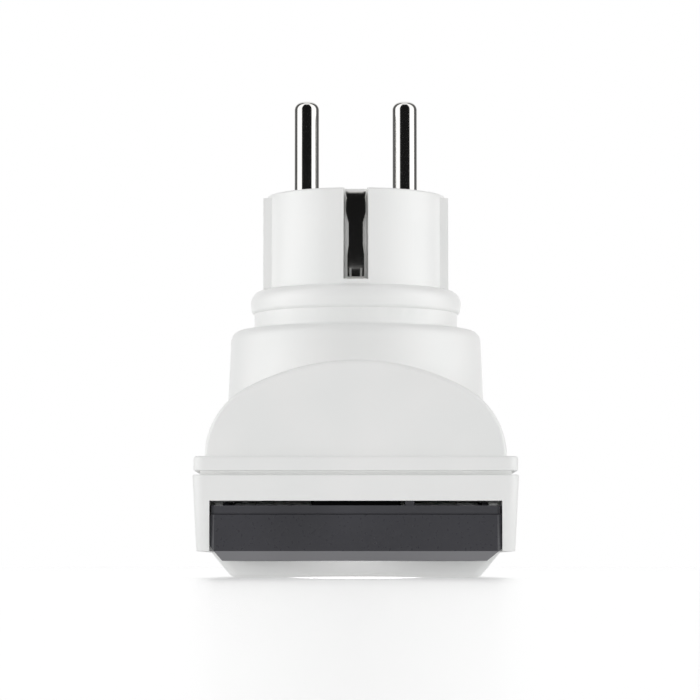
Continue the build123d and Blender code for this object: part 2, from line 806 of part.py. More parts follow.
with BuildPart() as suppression_capacitor:
    with BuildSketch(Plane.XY.offset(board_top_z)):
        with Locations((-9.0, -16.5)):
            Rectangle(9.0, 17.5)
    extrude(amount=11.5)
    chamfer(suppression_capacitor.edges().filter_by(Axis.Z), length=0.5)
    fillet(edges_at(suppression_capacitor, board_top_z + 11.5), radius=0.5)

finish(suppression_capacitor, "suppression_capacitor")

with BuildPart() as electrolytic_capacitor:
    with BuildSketch(Plane.XY.offset(board_top_z)):
        with Locations((9.0, -14.0)):
            Circle(5.0)
    extrude(amount=12.0)
    fillet(edges_at(electrolytic_capacitor, board_top_z + 12.0), radius=0.6)
    # Rolled groove round the can, near the board
    with Locations((9.0, -14.0, board_top_z + 1.8)):
        Torus(5.2, 0.5, mode=Mode.SUBTRACT)

finish(electrolytic_capacitor, "electrolytic_capacitor")

with BuildPart() as varistor:
    with BuildSketch(Plane.XZ.offset(22.2)):
        with Locations((9.0, board_top_z + 7.0)):
            Circle(4.8)
    extrude(amount=3.4)
    fillet(varistor.edges().filter_by(GeomType.CIRCLE), radius=1.2)
    with Locations((6.6, -23.3, board_top_z + 2.0), (11.4, -24.5, board_top_z + 2.0)):
        Cylinder(0.4, 4.0)

finish(varistor, "varistor")

with BuildPart() as fuse:
    with BuildSketch(Plane.XY.offset(board_top_z)):
        with Locations((9.0, -31.0)):
            Circle(4.2)
    extrude(amount=7.6)
    fillet(edges_at(fuse, board_top_z + 7.6), radius=0.4)

finish(fuse, "fuse")

with BuildPart() as bridge_rectifier:
    with BuildSketch(Plane.XY.offset(board_top_z + 0.5)):
        with Locations((-9.0, -30.8)):
            Rectangle(8.2, 6.4)
    extrude(amount=2.8)
    fillet(edges_at(bridge_rectifier, board_top_z + 3.3), radius=0.3)
    for x in (-11.55, -6.45):
        for y in (-34.2, -27.4):
            with Locations((x, y, board_top_z + 1.0)):
                Box(1.1, 0.5, 2.0)

finish(bridge_rectifier, "bridge_rectifier")

with BuildPart() as metering_chip:
    with BuildSketch(Plane.XY.offset(board_top_z + 0.2)):
        with Locations((-8.5, -40.2)):
            Rectangle(12.8, 7.4)
    extrude(amount=2.3)
    chamfer(edges_at(metering_chip, board_top_z + 2.5), length=0.3)
    # Two rows of gull-wing leads
    for y in (-36.1, -44.3):
        with Locations((-8.5, y, board_top_z + 0.6)):
            with GridLocations(1.27, 1, 10, 1):
                Box(0.42, 1.0, 1.2)

finish(metering_chip, "metering_chip")

battery_spot = (9.0, -40.8)
with BuildPart() as backup_battery:
    with BuildSketch(Plane.XY.offset(board_top_z + 0.8)):
        with Locations(battery_spot):
            Circle(4.75)
    extrude(amount=2.0)
    fillet(edges_at(backup_battery, board_top_z + 2.8), radius=0.5)
    with BuildSketch(Plane.XY.offset(board_top_z + 2.8)):
        with Locations(battery_spot):
            Circle(3.9)
    extrude(amount=0.5)

finish(backup_battery, "backup_battery")

with BuildPart() as battery_holder:
    with BuildSketch(Plane.XY.offset(board_top_z)):
        with Locations(battery_spot):
            Circle(5.3)
    extrude(amount=2.9)
    with BuildSketch(Plane.XY.offset(board_top_z + 0.75)):
        with Locations(battery_spot):
            Circle(4.8)
    extrude(amount=5, mode=Mode.SUBTRACT)
    # Thumb opening at one side
    with Locations((battery_spot[0], battery_spot[1] + 5, board_top_z + 2.5)):
        Box(5, 4, 3.4, mode=Mode.SUBTRACT)

finish(battery_holder, "battery_holder")

display_board_base_z = 9.2
display_board_top_z = 10.4
with BuildPart() as board_link_header:
    with BuildSketch(Plane.XY.offset(display_board_top_z)):
        with Locations((0, -40.0)):
            Rectangle(15.4, 2.5)
    extrude(amount=board_base_z - display_board_top_z)
    chamfer(board_link_header.edges().filter_by(Axis.Z), length=0.4)

finish(board_link_header, "board_link_header")

# ---- Display module -----------------------------------------------------------------------

bezel_half_width = 24.3
bezel_near_y = -58.3
bezel_far_y = -1.7
bezel_mid_y = (bezel_near_y + bezel_far_y) / 2
bezel_length = bezel_far_y - bezel_near_y
bezel_wall = 1.6
bezel_side_bevel = 2.4  # how far back the bevel reaches at the sides
bezel_back_z = 4.7  # the inner face of the panel
lcd_y = -43.2
window_half_width = 20.6
window_half_height = 11.9
bezel_post_spots = [(x, y) for x in (-19.9, 19.9) for y in (-28.6, -6.5)]
key_y = -19.5
key_width = 7.6
key_depth = 5.2
key_radius = 1.6
key_front_z = panel_front_z + 0.1  # flush, so that the meter can lie on its front
key_places = {"mode": -15.0, "set": -5.0, "up": 5.0, "down": 15.0}
reset_y = -9.5
reset_radius = 1.4
reset_front_z = panel_front_z + 0.4  # sunk, so that only a pen tip presses it

with BuildPart() as display_bezel:
    with BuildSketch(Plane.XY.offset(panel_front_z)):
        with Locations((0, bezel_mid_y)):
            Rectangle(2 * bezel_half_width, bezel_length)
    extrude(amount=panel_top_z - panel_front_z)
    chamfer(display_bezel.edges().filter_by(Axis.Z), length=0.7)
    front_edges = edges_at(display_bezel, panel_front_z)
    chamfer(front_edges.filter_by(Axis.Y), length=bezel_side_bevel, length2=2.0)
    end_edges = edges_at(display_bezel, panel_front_z).filter_by(Axis.X)
    chamfer(end_edges, length=side_wall_end_z - panel_front_z)
    with BuildSketch(Plane.XY.offset(bezel_back_z)):
        with Locations((0, bezel_mid_y)):
            Rectangle(2 * (bezel_half_width - bezel_wall), bezel_length - 2 * bezel_wall)
    extrude(amount=20, mode=Mode.SUBTRACT)
    # Recess and opening for the window
    with BuildSketch(Plane.XY.offset(panel_front_z)):
        with Locations((0, lcd_y)):
            RectangleRounded(2 * window_half_width, 2 * window_half_height, 1.0)
    extrude(amount=1.3, mode=Mode.SUBTRACT)
    with BuildSketch(Plane.XY.offset(panel_front_z)):
        with Locations((0, lcd_y)):
            Rectangle(2 * window_half_width - 3.0, 2 * window_half_height - 3.0)
    extrude(amount=5, mode=Mode.SUBTRACT)
    # Posts for the display board
    for x, y in bezel_post_spots:
        with BuildSketch(Plane.XY.offset(bezel_back_z - 0.3)):
            with Locations((x, y)):
                Circle(1.9)
        extrude(amount=display_board_base_z - bezel_back_z + 0.3)
        with BuildSketch(Plane.XY.offset(display_board_base_z)):
            with Locations((x, y)):
                Circle(0.8 + touch)
        extrude(amount=-4.0, mode=Mode.SUBTRACT)
    # Key openings
    with BuildSketch(Plane.XY.offset(panel_front_z)):
        with Locations(*[(x, key_y) for x in key_places.values()]):
            RectangleRounded(
                key_width + 2 * key_play, key_depth + 2 * key_play, key_radius + key_play
            )
        with Locations((0, reset_y)):
            Circle(reset_radius + key_play)
    extrude(amount=5, mode=Mode.SUBTRACT)

finish(display_bezel, "display_bezel")

with BuildPart() as display_window:
    with BuildSketch(Plane.XY.offset(panel_front_z + 0.1)):
        with Locations((0, lcd_y)):
            RectangleRounded(2 * window_half_width - 0.1, 2 * window_half_height - 0.1, 0.95)
    extrude(amount=1.2)

finish(display_window, "display_window")

# The carrier is the dark frame behind the bezel that hooks on to the front shell's ledges
with BuildPart() as bezel_carrier:
    with BuildSketch(Plane.XY.offset(carrier_base_z)):
        with Locations((0, bezel_mid_y)):
            Rectangle(48.2, bezel_length - 0.6)
            Rectangle(43.8, bezel_length - 5.0, mode=Mode.SUBTRACT)
    extrude(amount=carrier_top_z - carrier_base_z)
    chamfer(bezel_carrier.edges().filter_by(Axis.Z).sort_by(Axis.X)[0:2], length=0.6)
    chamfer(bezel_carrier.edges().filter_by(Axis.Z).sort_by(Axis.X)[-2:], length=0.6)
    for side in (-1, 1):
        for y in hook_spots:
            with Locations((side * 22.45, y, carrier_top_z + 1.3)):
                Box(0.9, 4.0, 2.8)
            with Locations((side * 22.9, y, ledge_top_z + 0.62)):
                Box(1.8, 4.0, 1.1)
    # Locating tab in the gap under the lintel
    with Locations((9.0, bezel_near_y + 1.6, carrier_top_z + 0.37)):
        Box(1.5, 2.0, 0.74)

finish(bezel_carrier, "bezel_carrier")

with BuildPart() as display_board:
    with BuildSketch(Plane.XY.offset(display_board_base_z)):
        with Locations((0, bezel_mid_y)):
            RectangleRounded(44.6, 52.4, 0.8)
        with Locations(*bezel_post_spots):
            Circle(1.0, mode=Mode.SUBTRACT)
    extrude(amount=display_board_top_z - display_board_base_z)

finish(display_board, "display_board")

with BuildPart() as display_screws:
    with Locations(*[(x, y, display_board_top_z) for x, y in bezel_post_spots]):
        add(screw_part(1.5, 1.0, 0.8, 4.6))

finish(display_screws, "display_screws")

with BuildPart() as controller_chip:
    with BuildSketch(Plane.XY.offset(display_board_top_z + 0.15)):
        with Locations((0, -20.0)):
            Rectangle(10.0, 10.0)
    extrude(amount=1.4)
    chamfer(edges_at(controller_chip, display_board_top_z + 1.55), length=0.25)
    # Leads on all four sides
    with Locations((0, -20.0, display_board_top_z + 0.4)):
        for y in (-5.45, 5.45):
            with Locations((0, y, 0)):
                with GridLocations(0.8, 1, 11, 1):
                    Box(0.35, 1.1, 0.8)
        for x in (-5.45, 5.45):
            with Locations((x, 0, 0)):
                with GridLocations(1, 0.8, 1, 11):
                    Box(1.1, 0.35, 0.8)

finish(controller_chip, "controller_chip")

glass_base_z = 5.0
glass_top_z = 7.2
strip_y = (lcd_y - 10.15, lcd_y + 10.15)
with BuildPart() as lcd_glass:
    with BuildSketch(Plane.XY.offset(glass_base_z)):
        with Locations((0, lcd_y)):
            Rectangle(39.6, 22.2)
    extrude(amount=glass_top_z - glass_base_z)
    chamfer(lcd_glass.edges().filter_by(Axis.Z), length=0.2)

finish(lcd_glass, "lcd_glass")

with BuildPart() as lcd_frame:
    with BuildSketch(Plane.XY.offset(4.75)):
        with Locations((0, lcd_y)):
            Rectangle(42.0, 24.4)
            Rectangle(39.8, 22.4, mode=Mode.SUBTRACT)
    extrude(amount=display_board_base_z - 4.75)

finish(lcd_frame, "lcd_frame")

with BuildPart() as zebra_strips:
    with Locations(*[(0, y, (glass_top_z + display_board_base_z) / 2) for y in strip_y]):
        Box(37.0, 1.8, display_board_base_z - glass_top_z)

finish(zebra_strips, "zebra_strips")

with BuildPart() as lcd_backing:
    with Locations((0, lcd_y, glass_top_z + 0.35)):
        Box(39.2, 18.0, 0.7)

finish(lcd_backing, "lcd_backing")

# ---- Keys ---------------------------------------------------------------------------------
# A key is kept in by its flange, and it stands on the plunger of its own switch.

flange_z = 4.85
flange_top = 5.55
plunger_top_z = 7.4
switch_base_z = 6.7
plunger_radius = 1.6
switch_spots = [(x, key_y) for x in key_places.values()] + [(0, reset_y)]

for name, x in key_places.items():
    with BuildPart() as keycap:
        with BuildSketch(Plane.XY.offset(key_front_z)):
            with Locations((x, key_y)):
                RectangleRounded(key_width, key_depth, key_radius)
        extrude(amount=flange_z - key_front_z)
        fillet(edges_at(keycap, key_front_z), radius=0.5)
        with BuildSketch(Plane.XY.offset(flange_z)):
            with Locations((x, key_y)):
                RectangleRounded(key_width + 1.4, key_depth + 1.6, 0.8)
        extrude(amount=flange_top - flange_z)
    finish(keycap, f"{name}_keycap")

    with BuildPart() as plunger:
        with BuildSketch(Plane.XY.offset(flange_top)):
            with Locations((x, key_y)):
                Circle(plunger_radius)
        extrude(amount=plunger_top_z - flange_top)
    finish(plunger, f"{name}_plunger")

with BuildPart() as reset_button:
    with BuildSketch(Plane.XY.offset(reset_front_z)):
        with Locations((0, reset_y)):
            Circle(reset_radius)
    extrude(amount=flange_z - reset_front_z)
    fillet(edges_at(reset_button, reset_front_z), radius=0.3)
    with BuildSketch(Plane.XY.offset(flange_z)):
        with Locations((0, reset_y)):
            Circle(2.4)
    extrude(amount=flange_top - flange_z)
    with BuildSketch(Plane.XY.offset(flange_top)):
        with Locations((0, reset_y)):
            Circle(plunger_radius)
    extrude(amount=plunger_top_z - flange_top)

finish(reset_button, "reset_button")

with BuildPart() as switch_bodies:
    with BuildSketch(Plane.XY.offset(switch_base_z)):
        with Locations(*switch_spots):
            RectangleRounded(6.0, 6.0, 0.5)
            Circle(plunger_radius + 0.08, mode=Mode.SUBTRACT)
    extrude(amount=1.7)
    with BuildSketch(Plane.XY.offset(switch_base_z + 1.7)):
        with Locations(*switch_spots):
            RectangleRounded(6.0, 6.0, 0.5)
    extrude(amount=display_board_base_z - switch_base_z - 1.7)

finish(switch_bodies, "switch_bodies")
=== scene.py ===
# %% [markdown]
# # A plug-in power meter
#
# The real object is a white mains adapter: a round-pin plug on its back, and a display and a
# socket on its front. It lies on its front, pins up. Its shells are injection-moulded ABS, its
# dark panel is a second moulding, and its pins are turned brass with a nickel plate.
#
# The CAD model gives every piece its true place and size. This file gives the pieces that are
# seen their finished surfaces: soft moulded edges, turned metal and printed digits. It reads
# the CAD frame and nothing else.

import json
from math import cos, pi, radians, sin

import bmesh
import bpy
from mathutils import Matrix, Vector


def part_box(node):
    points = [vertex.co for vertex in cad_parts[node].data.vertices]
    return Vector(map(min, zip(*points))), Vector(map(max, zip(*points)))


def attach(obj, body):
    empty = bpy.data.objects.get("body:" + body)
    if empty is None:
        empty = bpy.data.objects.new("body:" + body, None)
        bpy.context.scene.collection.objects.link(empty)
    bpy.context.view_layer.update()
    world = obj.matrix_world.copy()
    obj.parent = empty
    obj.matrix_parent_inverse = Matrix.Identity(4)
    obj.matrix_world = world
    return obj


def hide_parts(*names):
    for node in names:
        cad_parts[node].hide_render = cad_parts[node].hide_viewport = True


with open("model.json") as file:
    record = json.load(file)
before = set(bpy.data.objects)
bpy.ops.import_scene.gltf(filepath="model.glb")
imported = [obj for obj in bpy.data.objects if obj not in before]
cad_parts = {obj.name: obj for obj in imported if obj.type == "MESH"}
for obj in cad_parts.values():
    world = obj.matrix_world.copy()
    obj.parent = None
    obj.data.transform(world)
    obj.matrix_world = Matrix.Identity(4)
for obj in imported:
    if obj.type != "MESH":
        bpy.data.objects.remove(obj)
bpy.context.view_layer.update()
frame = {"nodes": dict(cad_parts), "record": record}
MM = 0.001  # Blender works in metres here, and the pieces are easier to think of in millimetres
print("CAD nodes:", len(frame["nodes"]))

# %% [markdown]
# ## Where things are
#
# A piece could be placed by typing its coordinates, but the CAD nodes already know them. So
# the heights and widths below are read from the nodes' boxes, and a change in the CAD model
# carries over to the looks.

# %% Places read from the frame


def box_mm(node):
    """The lowest and highest corner of a CAD node, in millimetres."""
    low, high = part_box(node)
    return Vector(low) / MM, Vector(high) / MM


pin_low, pin_high = box_mm("line_pin")
PLUG_Y = (pin_low.y + pin_high.y) / 2
PIN_TOP = pin_high.z
FACE_Z = box_mm("plug_insert")[1].z
print(f"plug axis at y = {PLUG_Y:.2f} mm, plug face at z = {FACE_Z:.2f} mm")

# %% [markdown]
# ## Light, floor and camera
#
# The meter was lit as small white goods are: in a white tent on a glowing table, with the dark
# lens side of the studio in front. Area lights alone could do it, but polished metal mirrors
# its whole surroundings, so a world shader holds the tent. Its mirror image has dark bands: one
# on the lens side and one at each far side, which give the pins their dark centre line and
# edges. Its soft light has no bands, so plastics stay even. The camera itself sees plain white.

# %% A helper for shader nodes


def hex_linear(code):
    """A colour from an sRGB hex code, as the linear red, green, blue and alpha that shaders use."""
    channels = [int(code[i:i + 2], 16) / 255 for i in (1, 3, 5)]
    linear = [c / 12.92 if c <= 0.04045 else ((c + 0.055) / 1.055) ** 2.4 for c in channels]
    return (*linear, 1.0)


def add_node(tree, kind, settings=None, **inputs):
    """Adds a shader node. A value goes on its input, and a socket is linked to it."""
    node = tree.nodes.new(kind)
    for name, value in (settings or {}).items():
        setattr(node, name, value)
    for name, value in inputs.items():
        key = int(name[1:]) if name[1:].isdigit() else name.replace("_", " ")
        if isinstance(value, bpy.types.NodeSocket):
            tree.links.new(value, node.inputs[key])
        else:
            node.inputs[key].default_value = value
    return node


# %% The white tent
TENT_LEVEL = 0.36  # the tent's soft light, where paper white is 1
BAND_STOPS = [  # (how far round from the lens side, as a part of half a turn, and the level there)
    (0.0, 0.010), (0.245, 0.012),  # the dark lens side
    (0.275, 1.5), (0.53, 1.5),  # the bright sides
    (0.56, 0.10), (0.79, 0.16),  # the far sides
    (0.85, 1.0),
]
BAND_FADE = (0.92, 0.98)  # the bands fade to white overhead, between these heights of a unit sphere
world = bpy.data.worlds.new("white_tent")
bpy.context.scene.world = world
world.use_nodes = True
tent = world.node_tree
tent.nodes.clear()
direction = add_node(tent, "ShaderNodeTexCoord").outputs["Generated"]
axes = add_node(tent, "ShaderNodeSeparateXYZ", Vector=direction)
away = add_node(tent, "ShaderNodeMath", {"operation": "ABSOLUTE"}, i0=axes.outputs["X"])
toward = add_node(tent, "ShaderNodeMath", {"operation": "MULTIPLY"}, i0=axes.outputs["Y"], i1=-1.0)
turn = add_node(tent, "ShaderNodeMath", {"operation": "ARCTAN2"}, i0=away.outputs[0],
                i1=toward.outputs[0])
half_turns = add_node(tent, "ShaderNodeMath", {"operation": "DIVIDE"}, i0=turn.outputs[0], i1=pi)
bands = add_node(tent, "ShaderNodeValToRGB", i0=half_turns.outputs[0])
while len(bands.color_ramp.elements) < len(BAND_STOPS):
    bands.color_ramp.elements.new(1.0)
for element, (place, level) in zip(bands.color_ramp.elements, BAND_STOPS):
    element.position = place
    element.color = (level, level, level, 1.0)
band_top = add_node(tent, "ShaderNodeMapRange", {"interpolation_type": "SMOOTHSTEP"},
                    Value=axes.outputs["Z"], From_Min=BAND_FADE[0], From_Max=BAND_FADE[1],
                    To_Min=0.0, To_Max=1.0)
tent_white = (1.0, 1.0, 1.0, 1.0)
tent_soft = (TENT_LEVEL, TENT_LEVEL, TENT_LEVEL, 1.0)
mirrored = add_node(tent, "ShaderNodeMix", {"data_type": "RGBA"}, i0=band_top.outputs[0],
                    i6=bands.outputs["Color"], i7=tent_white)
seen = add_node(tent, "ShaderNodeLightPath")
gloss_or_soft = add_node(tent, "ShaderNodeMix", {"data_type": "RGBA"},
                         i0=seen.outputs["Is Diffuse Ray"], i6=mirrored.outputs[2], i7=tent_soft)
sight = add_node(tent, "ShaderNodeMix", {"data_type": "RGBA"}, i0=seen.outputs["Is Camera Ray"],
                 i6=gloss_or_soft.outputs[2], i7=tent_white)
tent_light = add_node(tent, "ShaderNodeBackground", Color=sight.outputs[2], Strength=1.0)
add_node(tent, "ShaderNodeOutputWorld", Surface=tent_light.outputs[0])
print("tent nodes:", len(tent.nodes))

# %% The camera
CAMERA_AWAY = 614.0  # from the plug axis, in millimetres
CAMERA_HEIGHT = 2.2  # almost on the table
FOCAL_LENGTH = 163.646  # for a sensor 36 mm wide
LOOK_UP = 3.8655  # degrees over level
LOOK_LEFT = 0.1044  # degrees from straight ahead
lens = bpy.data.cameras.new("camera")
lens.sensor_width = 36.0
lens.lens = FOCAL_LENGTH
lens.clip_start = 0.01
camera = bpy.data.objects.new("camera", lens)
camera.location = Vector((0.0, PLUG_Y - CAMERA_AWAY, CAMERA_HEIGHT)) * MM
camera.rotation_euler = (radians(90.0 + LOOK_UP), 0.0, radians(LOOK_LEFT))
bpy.context.scene.collection.objects.link(camera)
bpy.context.scene.camera = camera
bpy.context.scene.view_settings.view_transform = "Standard"
print(f"camera: {lens.lens:.1f} mm lens, {CAMERA_AWAY:.0f} mm from the plug axis")

# %% Soft lights


def soft_light(name, place, aim, width, height, power):
    """An area light at a place that faces an aim, in millimetres. Glossy rays don't see it."""
    data = bpy.data.lights.new(name, "AREA")
    data.shape = "RECTANGLE"
    data.size = width * MM
    data.size_y = height * MM
    data.energy = power
    light = bpy.data.objects.new(name, data)
    light.location = Vector(place) * MM
    light.rotation_euler = (Vector(aim) - Vector(place)).to_track_quat("-Z", "Y").to_euler()
    light.visible_glossy = False
    bpy.context.scene.collection.objects.link(light)


object_middle = (0.0, 0.0, 40.0)
panel_level = (0.0, 0.0, 16.0)  # the middle, at about the dark panel's height
soft_light("left_light", (-520.0, 40.0, 180.0), object_middle, 380.0, 380.0, 1.3)
soft_light("right_light", (520.0, 0.0, 180.0), object_middle, 380.0, 380.0, 1.35)
soft_light("lens_fill", (-60.0, -700.0, 16.0), panel_level, 300.0, 40.0, 1.6)
print("lights:", len(bpy.data.lights))

# %% [markdown]
# ## Materials
#
# Nearly every piece of a meter is one of three things: moulded plastic, stamped or turned
# metal, or coated board. So there are three recipes, and each finish below is one of them with
# its own colour, gloss and grain. The grain could be an image, but noise in object coordinates
# has a true size in millimetres on every piece and needs no unwrapping.

# %% A new material


def new_material(name):
    """An empty node material. Returns it with its tree and the object coordinates."""
    material = bpy.data.materials.new(name)
    material.use_nodes = True
    tree = material.node_tree
    tree.nodes.clear()
    place = add_node(tree, "ShaderNodeTexCoord").outputs["Object"]
    return material, tree, place


def noise_at(tree, place, grain_mm, detail=2.0):
    """Noise whose bumps are about grain_mm apart."""
    return add_node(tree, "ShaderNodeTexNoise", Vector=place, Scale=1.0 / (grain_mm * MM),
                    Detail=detail, Roughness=0.55).outputs[0]


def spread(tree, value, low, high):
    """Spreads the middle of a noise over the range from low to high."""
    return add_node(tree, "ShaderNodeMapRange", Value=value, From_Min=0.3, From_Max=0.7,
                    To_Min=low, To_Max=high).outputs["Result"]


def blend_colours(tree, factor, first, second):
    """Mixes two hex colours by a factor."""
    return add_node(tree, "ShaderNodeMix", {"data_type": "RGBA"}, i0=factor,
                    i6=hex_linear(first), i7=hex_linear(second)).outputs[2]


def output(tree, shader):
    """Joins a shader to the material's output."""
    add_node(tree, "ShaderNodeOutputMaterial", Surface=shader.outputs[0])


# %% [markdown]
# ### Moulded plastic
#
# A moulding copies its tool. The cavity is spark-eroded, which leaves a grain of about a
# twentieth of a millimetre. That is too fine to show, so it is drawn about five times as
# coarse. Under it lies a slow waviness from shrinkage, and the tone drifts a little too.

# %% Plastics
FLOW_MM = 14.0  # the length of the shrinkage waves
FLOW_DEPTH_MM = 0.05
PLASTIC_IOR = 1.53


def plastic(name, colour, shade, roughness, grain_mm=0.25, grain_depth=0.004):
    """Injection-moulded plastic: two near tones, an eroded grain and a slow waviness."""
    material, tree, place = new_material(name)
    grain = noise_at(tree, place, grain_mm)
    flow = noise_at(tree, place, FLOW_MM, detail=1.0)
    tone = blend_colours(tree, spread(tree, flow, 0.0, 1.0), colour, shade)
    gloss = spread(tree, grain, roughness - 0.04, roughness + 0.05)
    eroded = add_node(tree, "ShaderNodeBump", Height=grain, Distance=grain_depth * MM,
                      Strength=0.6)
    wavy = add_node(tree, "ShaderNodeBump", Height=flow, Distance=FLOW_DEPTH_MM * MM,
                    Strength=0.25, Normal=eroded.outputs[0])
    shader = add_node(tree, "ShaderNodeBsdfPrincipled", Base_Color=tone, Roughness=gloss,
                      IOR=PLASTIC_IOR, Normal=wavy.outputs[0])
    output(tree, shader)
    return material


# %% [markdown]
# ### Metal
#
# Turned, drawn and stamped metal all carry fine lines in the direction of the work. They could
# be engraved one by one, but a noise that is squeezed across them draws them all at once. Round
# a pin the lines lie level, so its noise is squeezed along Z, and drawn strip has it squeezed
# along X or Y.

# %% Metals
LINE_MM = 2.2  # the spacing of the worked lines, before they are squeezed
LINE_DEPTH_MM = 0.0015
WEAR_MM = 5.0


def metal(name, colour, shade, roughness, squeeze=(1.0, 1.0, 12.0)):
    """Worked metal: a worn tone, and lines where the noise is squeezed most."""
    material, tree, place = new_material(name)
    squeezed = add_node(tree, "ShaderNodeMapping", Vector=place, Scale=squeeze).outputs[0]
    lines = noise_at(tree, squeezed, LINE_MM, detail=3.0)
    wear = noise_at(tree, place, WEAR_MM)
    tone = blend_colours(tree, spread(tree, wear, 0.0, 1.0), colour, shade)
    gloss = spread(tree, lines, roughness * 0.8, roughness * 1.3)
    worked = add_node(tree, "ShaderNodeBump", Height=lines, Distance=LINE_DEPTH_MM * MM,
                      Strength=0.5)
    shader = add_node(tree, "ShaderNodeBsdfPrincipled", Base_Color=tone, Roughness=gloss,
                      Metallic=1.0, Normal=worked.outputs[0])
    output(tree, shader)
    return material


# %% [markdown]
# ### Circuit board
#
# Solder mask is a translucent green coat over copper tracks, so the tracks show as a lighter
# green, slightly raised. Drawing each track would take long, and the joints of a brick pattern
# give the same look: long runs with short links between them.

# %% Board
TRACK_MM = 4.0  # the spacing of the track pattern
TRACK_HEIGHT_MM = 0.03


def circuit_board(name):
    """Green solder mask with the raised, lighter tracks under it."""
    material, tree, place = new_material(name)
    tracks = add_node(tree, "ShaderNodeTexBrick", Vector=place, Scale=1.0 / (TRACK_MM * MM),
                      Mortar_Size=0.09, Mortar_Smooth=0.1, Brick_Width=2.3, Row_Height=0.5,
                      Color1=(0, 0, 0, 1), Color2=(0, 0, 0, 1), Mortar=(1, 1, 1, 1))
    copper = tracks.outputs[1]
    tone = blend_colours(tree, copper, "#0f5a30", "#2b7d45")
    raised = add_node(tree, "ShaderNodeBump", Height=copper, Distance=TRACK_HEIGHT_MM * MM,
                      Strength=0.7)
    shader = add_node(tree, "ShaderNodeBsdfPrincipled", Base_Color=tone, Roughness=0.28,
                      IOR=1.55, Normal=raised.outputs[0])
    output(tree, shader)
    return material


# %% [markdown]
# ### Clear sheet
#
# The window is clear acrylic and the display is a sandwich of thin glass. Both let light
# through, so their shader does too. Fine wiping marks change the gloss a little.

# %% Clear sheets
WIPE_MM = 6.0  # the size of the wiping marks


def clear_sheet(name, tint, roughness, ior, passes):
    """A clear sheet with faint wiping marks. passes is how much light goes through."""
    material, tree, place = new_material(name)
    wiped = add_node(tree, "ShaderNodeMapping", Vector=place, Scale=(1.0, 9.0, 1.0)).outputs[0]
    marks = noise_at(tree, wiped, WIPE_MM, detail=3.0)
    gloss = spread(tree, marks, roughness, roughness + 0.05)
    shader = add_node(tree, "ShaderNodeBsdfPrincipled", Base_Color=hex_linear(tint),
                      Roughness=gloss, IOR=ior, Transmission_Weight=passes)
    output(tree, shader)
    return material


# %% The finishes, one for each slot of the record
finishes = {
    "white_abs": plastic("white_abs", "#f1f1f0", "#edeeed", 0.42),
    "plug_white": plastic("white_polyamide", "#f3f3f2", "#eff0ef", 0.36),
    "socket_white": plastic("white_polycarbonate", "#f2f2f1", "#eeefee", 0.34),
    "shutter_white": plastic("white_acetal", "#e6e6e2", "#dfdfda", 0.40),
    "dark_bezel": plastic("anthracite_abs", "#3e3e43", "#37373b", 0.30, 0.6, 0.001),
    "dark_carrier": plastic("black_abs", "#434348", "#3b3b3f", 0.42, 0.6, 0.001),
    "window_clear": clear_sheet("clear_acrylic", "#f4f8fa", 0.03, 1.49, 1.0),
    "key_grey": plastic("grey_key_abs", "#8d9196", "#868a90", 0.40),
    "reset_red": plastic("red_key_abs", "#a8322a", "#9b2a23", 0.40),
    "switch_black": plastic("black_nylon", "#1c1c1c", "#151515", 0.5),
    "plunger_ivory": plastic("ivory_acetal", "#d9cfb4", "#cfc4a6", 0.4),
    "nickel": metal("nickel_plate", "#e2e1df", "#d9d8d5", 0.10),
    "spring_bronze": metal("nickel_plated_bronze", "#c9c5bd", "#b9b3a8", 0.15, (10.0, 1.0, 1.0)),
    "spring_steel": metal("spring_steel", "#b8b8b8", "#a6a6a8", 0.25),
    "brass_strip": metal("stamped_brass", "#d0b274", "#bf9d5c", 0.28, (1.0, 8.0, 1.0)),
    "copper_strip": metal("stamped_copper", "#c98562", "#b87352", 0.30, (1.0, 8.0, 1.0)),
    "manganin": metal("manganin_strip", "#b08d78", "#9d7a66", 0.35, (1.0, 8.0, 1.0)),
    "zinc_screw": metal("zinc_plated_steel", "#b9bcc0", "#a9adb3", 0.28),
    "carrier_cream": plastic("cream_urea_resin", "#d8ceb6", "#cfc4a9", 0.5),
    "ring_grey": plastic("grey_nylon", "#96989a", "#8e9092", 0.5),
    "wire_brown": plastic("brown_pvc", "#5a3822", "#4f301c", 0.45),
    "wire_black": plastic("black_pvc", "#1d1d1e", "#171718", 0.45),
    "wire_blue": plastic("blue_pvc", "#2a4f9a", "#254688", 0.45),
    "board_green": circuit_board("green_solder_mask"),
    "capacitor_yellow": plastic("yellow_cast_case", "#d9a828", "#cd9b1f", 0.32),
    "capacitor_sleeve": plastic("dark_shrink_sleeve", "#20263c", "#1b2034", 0.35),
    "varistor_blue": plastic("blue_dip_coat", "#2655a8", "#204a96", 0.25, 0.6, 0.02),
    "fuse_black": plastic("black_fuse_case", "#1a1a1a", "#141414", 0.45),
    "chip_black": plastic("black_epoxy", "#202124", "#1a1b1d", 0.55),
    "cell_steel": metal("bright_cell_steel", "#c4c5c7", "#b6b8ba", 0.18),
    "header_black": plastic("black_header_nylon", "#18181a", "#131314", 0.5),
    "lcd_glass": clear_sheet("display_glass", "#cfd8cc", 0.05, 1.52, 0.55),
    "lcd_frame_white": plastic("white_frame_abs", "#e4e4e0", "#dcdcd7", 0.5),
    "zebra_grey": plastic("layered_silicone", "#3a3a3c", "#2c2c2e", 0.6),
    "reflector": metal("satin_reflector_foil", "#c3c8bd", "#b9beb2", 0.45, (1.0, 6.0, 1.0)),
}
slot_of = {row["node"]: row["material_slot"] for row in frame["record"]["subparts"]}
for node_name, node in frame["nodes"].items():
    node.data.materials.clear()
    node.data.materials.append(finishes[slot_of[node_name]])
print("finishes:", len(finishes))

